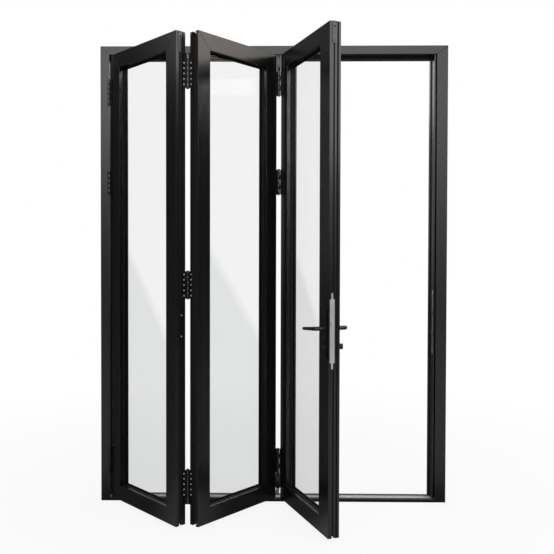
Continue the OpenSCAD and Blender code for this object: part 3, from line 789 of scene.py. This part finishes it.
class DOOR_OT_screws(bpy.types.Operator):
    """Screws in the hinge plates, the lock and bolt plates and the guide channel"""
    bl_idname = "door.screws"
    bl_label = "Drive the screws"

    def execute(self, context):
        steel = brushed_steel("screw_steel", colours().zinc, 0.34, "z")
        black = lacquer("screw_lacquer", colours().hardware, 0.2, 0.8)
        master = self.screw_head()
        first, lead = Leaf(1), Leaf(3)
        for node, leaf, side in (
                ("jamb_hinges_leaf", first, -1), ("meeting_hinges_leaf1", first, 1),
                ("meeting_hinges_leaf2", Leaf(2), -1), ("carrier_hinges_leaf2", Leaf(2), 1),
                ("carrier_hinges_leaf3", lead, -1)):
            heads = self.plate_screws(leaf, node, side)
            dress(copies(master, f"{node}_screws", heads), steel)
        for name, heads, finish in (
                ("jamb_hinges_frame_screws", self.jamb_screws(), steel),
                ("flush_bolt_screws", self.flush_screws(first), steel),
                ("faceplate_screws", self.faceplate_screws(lead), steel),
                ("strike_screws", self.strike_screws(), steel),
                ("channel_screws", self.channel_screws(), steel),
                ("bolt_guide_screws", self.guide_screws(first) + self.guide_screws(lead), black),
                ("inside_backplate_screws", self.backplate_screws(lead), black)):
            dress(copies(master, name, heads), finish)
        bpy.data.objects.remove(master)
        return {"FINISHED"}

    @staticmethod
    def screw_head():
        """A domed head with a round socket, standing on the origin along +x."""
        radius, height = sizes().screw_radius, sizes().screw_height
        head = start_primitive(bpy.ops.mesh.primitive_cylinder_add, "screw_head", vertices=20,
                               radius=radius, depth=height * 0.3, location=(0, 0, height * 0.15))
        bpy.ops.object.transform_apply()
        pick_faces(head, lambda centre, normal: normal.z > 0.9)
        for inward, rise in ((0.08, 0.28), (0.14, 0.24), (0.22, 0.16)):
            bpy.ops.mesh.inset(thickness=radius * inward)
            bpy.ops.transform.translate(value=(0, 0, height * rise))
        bpy.ops.mesh.inset(thickness=radius * 0.14)
        bpy.ops.mesh.extrude_region_move(TRANSFORM_OT_translate={"value": (0, 0, -height * 0.6)})
        bpy.ops.object.mode_set(mode="OBJECT")
        bpy.ops.object.shade_smooth_by_angle(angle=math.radians(40))
        return settle(head, Matrix.Rotation(math.pi / 2, 4, "Y"))

    @staticmethod
    def row(middle, count, pitch):
        """Evenly spaced places about a middle."""
        return [middle + (index - (count - 1) / 2) * pitch for index in range(count)]

    def plate_screws(self, leaf, node, side):
        """Screws of the hinges on a leaf's edge: side is -1 on its hinge side, else 1."""
        points = leaf.local(node)
        plate = points[np.abs(points[:, 1] - leaf.depth / 2) < leaf.depth / 2]
        v = (plate[:, 1].min() + plate[:, 1].max()) / 2
        u = plate[:, 0].max() if side > 0 else plate[:, 0].min()
        turn = Matrix.Identity(4) if side > 0 else Matrix.Rotation(math.pi, 4, "Z")
        return [leaf.matrix() @ Matrix.Translation((u, v, z)) @ turn
                for middle in hinge_middles(points[:, 2])
                for z in self.row(middle, sizes().screws, sizes().screw_pitch)]

    def jamb_screws(self):
        """Screws of the hinge plates that are let into the jamb."""
        points = vertices("jamb_hinges_frame")
        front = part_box("left_jamb")[0][1]
        plate = points[points[:, 1] > front]
        y = (plate[:, 1].min() + plate[:, 1].max()) / 2
        x = plate[plate[:, 1] > y][:, 0].max()
        return [Matrix.Translation((x, y, z)) for middle in hinge_middles(points[:, 2])
                for z in self.row(middle, sizes().screws, sizes().screw_pitch)]

    @staticmethod
    def on_plate(leaf, place, heights, scale=1.0):
        """Screws at heights above a place on a leaf's edge, scaled from the hinge screws."""
        foot = leaf.matrix() @ Matrix.Translation(place)
        return [foot @ Matrix.Translation((0, 0, z)) @ Matrix.Scale(scale, 4) for z in heights]

    def flush_screws(self, leaf):
        low, high = leaf.box("flush_bolt_plate")
        foot = (low[0] + EDGE_PLATE, (low[1] + high[1]) / 2, low[2])
        heights = self.row((high[2] - low[2]) / 2, 2, FLUSH_SCREWS_APART)
        return self.on_plate(leaf, foot, heights, 0.85)

    def faceplate_screws(self, leaf):
        """One near each end, and a small one above the deadbolt that holds the cylinder."""
        low, high = leaf.box("lock_faceplate")
        foot = (low[0] + EDGE_PLATE, (low[1] + high[1]) / 2, low[2])
        length = high[2] - low[2]
        heights = (FACEPLATE_SCREW_END, length - FACEPLATE_SCREW_END)
        small = self.on_plate(leaf, foot, (length / 2 - CYLINDER_SCREW_DROP,), 0.6)
        return self.on_plate(leaf, foot, heights) + small

    def guide_screws(self, leaf):
        """Two in the bolt guide on a leaf's far edge. The node has the other leaf's guide too."""
        points = leaf.local("edge_bolt_guides")
        rise, through = points[:, 0] - leaf.width, points[:, 1]
        own = points[(rise > 0) & (rise < BOLT_GUIDE) & (through > 0) & (through < leaf.depth)]
        low, high = own.min(0), own.max(0)
        foot = (high[0], (low[1] + high[1]) / 2, low[2])
        return self.on_plate(leaf, foot, GUIDE_SCREW_HEIGHTS, 0.8)

    @staticmethod
    def backplate_screws(leaf):
        """Two that clamp the backplates together, driven from the inside."""
        low, high = leaf.box("inside_backplate")
        levels = np.unique(np.round(leaf.local("inside_backplate")[:, 1], 4))
        face = levels[levels < high[1] - mm(1)].max()
        u = (low[0] + high[0]) / 2
        turn = Matrix.Rotation(math.pi / 2, 4, "Z")
        return [leaf.matrix() @ Matrix.Translation((u, face, z)) @ turn @ Matrix.Scale(0.9, 4)
                for z in (low[2] + BACKPLATE_SCREW_END, high[2] - BACKPLATE_SCREW_END)]

    @staticmethod
    def strike_screws():
        low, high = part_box("strike_plate")
        turn = Matrix.Rotation(math.pi, 4, "Z")
        return [Matrix.Translation((low[0], (low[1] + high[1]) / 2, z)) @ turn
                for z in (low[2] + STRIKE_SCREW_END, high[2] - STRIKE_SCREW_END)]

    def channel_screws(self):
        """A row down the bottom of the guide channel."""
        low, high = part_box("guide_rail")
        upward = Matrix.Rotation(-math.pi / 2, 4, "Y")
        middle = (low[0] + high[0]) / 2 + CHANNEL_SHIFT
        return [Matrix.Translation((x, (low[1] + high[1]) / 2, low[2] + CHANNEL_FLOOR)) @ upward
                for x in self.row(middle, CHANNEL_SCREWS, CHANNEL_SCREWS_APART)]


def hinge_middles(heights):
    """Middle heights of the hinges in a node, from its points' heights.

    A hinge with an end block is longer: by its upper end at the top, by its lower end elsewhere.
    """
    levels = np.unique(np.round(heights, 4))
    groups = np.split(levels, np.where(np.diff(levels) > HINGE_SPACE)[0] + 1)
    hinge_h = min(g[-1] - g[0] for g in groups)
    middles = []
    for index, group in enumerate(groups):
        upper = index == len(groups) - 1
        middles.append(group[0] + hinge_h / 2 if upper else group[-1] - hinge_h / 2)
    return middles


# The studio

def softbox(name, bearing, away, heights, width, radiance, tint=(1, 1, 1)):
    """A rectangular lamp that faces the door.

    It stands away metres off, at a bearing in degrees from +X towards +Y, between two heights. It
    is aimed a part of the way down from its own height to the door's middle.
    """
    door, downward = Vector((0, -0.25, 1.2)), 0.6
    turn = math.radians(bearing)
    low, high = heights
    place = Vector((away * math.cos(turn), away * math.sin(turn) + door.y, (low + high) / 2))
    data = bpy.data.lights.new(name, "AREA")
    data.shape, data.size, data.size_y = "RECTANGLE", width, high - low
    data.energy, data.color = radiance * math.pi * width * (high - low), tint
    lamp = bpy.data.objects.new(name, data)
    bpy.context.scene.collection.objects.link(lamp)
    lamp.location = place
    target = Vector((door.x, door.y, place.z - (place.z - door.z) * downward))
    lamp.rotation_euler = (target - place).to_track_quat("-Z", "Y").to_euler()
    lamp.visible_camera = False


def shown_rays(finish):
    """Camera and transmission rays as one number, glossy rays as another."""
    path = finish.node("ShaderNodeLightPath")
    camera = Signal(finish, path.outputs["Is Camera Ray"])
    glossy = Signal(finish, path.outputs["Is Glossy Ray"])
    return camera.greater(path.outputs["Is Transmission Ray"]), glossy


class DOOR_OT_stage(bpy.types.Operator):
    """Pale floor, white background, soft lights and the camera"""
    bl_idname = "door.stage"
    bl_label = "Set up the studio"

    def execute(self, context):
        self.camera(context.scene)
        self.world(context.scene)
        self.floor()
        self.lights()
        context.scene.view_settings.view_transform = "Standard"
        return {"FINISHED"}

    @staticmethod
    def camera(scene):
        data = bpy.data.cameras.new("camera")
        data.sensor_width = SENSOR
        data.lens = FOCAL_PX / IMAGE_SIDE * SENSOR
        data.shift_x = -CENTRE_PX[0] / IMAGE_SIDE
        data.shift_y = CENTRE_PX[1] / IMAGE_SIDE
        camera = bpy.data.objects.new("camera", data)
        scene.collection.objects.link(camera)
        ahead = Vector((math.sin(CAMERA_YAW) * math.cos(CAMERA_DOWN),
                        math.cos(CAMERA_YAW) * math.cos(CAMERA_DOWN), -math.sin(CAMERA_DOWN)))
        level = Vector((math.cos(CAMERA_YAW), -math.sin(CAMERA_YAW), 0))
        upward = level.cross(ahead)
        right = level * math.cos(CAMERA_ROLL) + upward * math.sin(CAMERA_ROLL)
        up = upward * math.cos(CAMERA_ROLL) - level * math.sin(CAMERA_ROLL)
        turn = Matrix((right, up, -ahead)).transposed().to_4x4()
        camera.matrix_world = Matrix.Translation(CAMERA_PLACE) @ turn
        scene.camera = camera

    @staticmethod
    def world(scene):
        """White background, and the pale wall and ceiling that gloss and metal show."""
        world = bpy.data.worlds.new("studio")
        world.use_nodes = True
        scene.world = world
        finish = Finish(world.node_tree)
        seen, glossy = shown_rays(finish)
        direction = finish.node("ShaderNodeSeparateXYZ", {}, {
            0: finish.node("ShaderNodeTexCoord").outputs["Generated"]})
        wall = finish.ramp(Signal(finish, direction.outputs["Y"]), (0.55, 0.0), (0.95, 1.0))
        ceiling = finish.ramp(Signal(finish, direction.outputs["Z"]), (0.35, 0.0), (0.75, 1.0))
        mirrored = 0.06 + 0.34 * wall + 0.6 * ceiling
        diffuse = 0.32
        strength = seen + (1 - seen) * (glossy * mirrored + (1 - glossy) * diffuse)
        background = finish.node("ShaderNodeBackground", {}, {
            "Color": (1, 1, 1), "Strength": strength})
        finish.node("ShaderNodeOutputWorld", {}, {"Surface": background.outputs[0]})

    @staticmethod
    def floor():
        """A pale floor that keeps the door's shadow and runs out into the white background.

        Gloss and metal show it darker, most of all beside and behind the frame.
        """
        floor = start_primitive(bpy.ops.mesh.primitive_plane_add, "floor", size=60,
                                location=(0, 0, -mm(0.5)))
        material, finish = new_finish("studio_floor")
        seen, glossy = shown_rays(finish)
        place = finish.coordinates()
        away = Signal(finish, finish.node("ShaderNodeVectorMath", {"operation": "LENGTH"}, {
            0: place}).outputs["Value"])
        fade = finish.ramp(away * 0.1, (0.12, 0.0), (0.32, 1.0))
        axes = finish.node("ShaderNodeSeparateXYZ", {}, {0: place})
        beside = finish.ramp(Signal(finish, axes.outputs["Y"]) + 0.9, (0.44, 0.0), (0.62, 1.0))
        paint = finish.node("ShaderNodeBsdfDiffuse", {}, {"Color": tuple(colours().floor)})
        white = finish.node("ShaderNodeEmission", {}, {"Color": (1, 1, 1), "Strength": 1.0})
        shade = finish.node("ShaderNodeEmission", {}, {"Color": (1, 1, 1), "Strength": 0.08})
        shown = finish.node("ShaderNodeMixShader", {}, {
            0: seen * (0.88 + 0.12 * fade), 1: paint.outputs[0], 2: white.outputs[0]})
        darker = glossy * (0.3 + 0.68 * beside)
        finish.surface(finish.node("ShaderNodeMixShader", {}, {
            0: darker, 1: shown.outputs[0], 2: shade.outputs[0]}).outputs[0])
        floor.data.materials.append(material)

    @staticmethod
    def lights():
        """Soft lamps on all sides: the front ones draw the sheen on the coat and the glass."""
        softbox("front", -96, 5.0, (2.45, 5.2), 6.4, 3.4)
        softbox("front_low", -60, 5.2, (1.3, 2.5), 3.4, 0.9)
        softbox("front_right", -40, 4.8, (2.3, 5.0), 2.6, 3.2)
        softbox("right", -8, 5.0, (3.35, 5.2), 2.8, 3.6, (1.0, 0.93, 0.87))
        softbox("left", 188, 5.0, (3.4, 5.2), 2.4, 1.9, (0.94, 0.97, 1.0))
        softbox("back", 84, 5.2, (3.0, 5.4), 5.0, 1.7)


# Panel and registration

STEPS = ("stage", "profiles", "hardware", "glazing", "gaskets", "seals", "key_plug", "screws")


class DOOR_PT_panel(bpy.types.Panel):
    """Lists the steps that finish the door"""
    bl_idname = "DOOR_PT_panel"
    bl_label = "Folding door"
    bl_space_type = "VIEW_3D"
    bl_region_type = "UI"
    bl_category = "Folding door"

    def draw(self, context):
        for step in STEPS:
            self.layout.operator(f"door.{step}")
        for group in (context.scene.door_sizes, context.scene.door_colours):
            for name in group.bl_rna.properties.keys():
                if name not in ("rna_type", "name"):
                    self.layout.prop(group, name)


CLASSES = (DoorSizes, DoorColours, DOOR_OT_stage, DOOR_OT_profiles, DOOR_OT_hardware,
           DOOR_OT_glazing, DOOR_OT_gaskets, DOOR_OT_seals, DOOR_OT_key_plug, DOOR_OT_screws,
           DOOR_PT_panel)


def register():
    for item in CLASSES:
        bpy.utils.register_class(item)
    bpy.types.Scene.door_sizes = PointerProperty(type=DoorSizes)
    bpy.types.Scene.door_colours = PointerProperty(type=DoorColours)


def unregister():
    del bpy.types.Scene.door_colours
    del bpy.types.Scene.door_sizes
    for item in reversed(CLASSES):
        bpy.utils.unregister_class(item)


def main():
    register()
    for step in STEPS:
        getattr(bpy.ops.door, step)()


if __name__ == "__main__":
    main()
